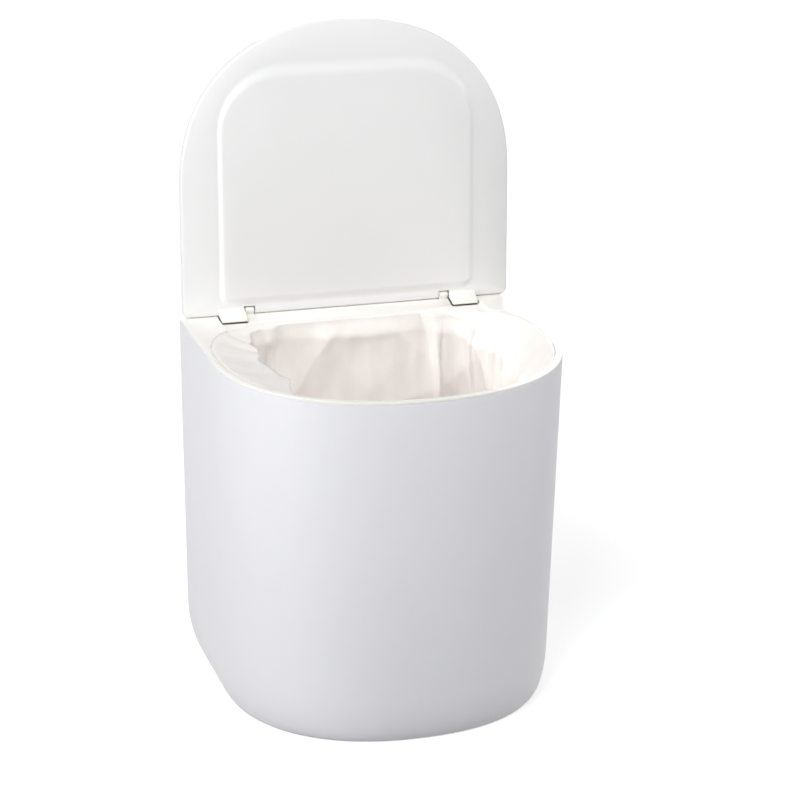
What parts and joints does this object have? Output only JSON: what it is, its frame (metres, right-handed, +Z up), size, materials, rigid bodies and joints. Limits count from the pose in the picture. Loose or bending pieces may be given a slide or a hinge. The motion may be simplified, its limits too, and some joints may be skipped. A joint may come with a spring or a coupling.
{
  "type": "countertop trash can",
  "caption": "Small countertop trash can with a flat back, a rounded front, a bag ring and a rear-hinged flip-up lid standing open.",
  "frame": {"origin": "on the flat underside of the bin, on the middle of its plan box (the width's middle and halfway from the back to the front)", "axes": "+X across the bin to the right as seen from the front, +Y towards the flat back, +Z up"},
  "size_m": [0.2, 0.1818, 0.3742],
  "materials": {
    "body_plastic": "satin polypropylene",
    "ring_plastic": "satin polypropylene",
    "lid_plastic": "satin polypropylene",
    "arm_plastic": "satin acetal",
    "bag_film": "milky polyethylene film",
    "pin_steel": "drawn wire"
  },
  "bodies": {
    "bin": {"bin_body": "body_plastic", "bag_liner": "bag_film"},
    "ring": {"bag_ring": "ring_plastic", "hinge_pin_left": "pin_steel", "hinge_pin_right": "pin_steel"},
    "lid": {"lid_panel": "lid_plastic", "lid_cover": "lid_plastic", "hinge_arm_left": "arm_plastic", "hinge_arm_right": "arm_plastic"}
  },
  "joints": [
    {"name": "ring_lift", "type": "slide", "parent": "bin", "child": "ring", "axis": [0, 0, 1], "range_m": [0, 0.08]},
    {"name": "lid_hinge", "type": "hinge", "parent": "ring", "child": "lid", "pos_m": [0, 0.08108, 0.2073], "axis": [1, 0, 0], "range_deg": [0, 93]}
  ]
}
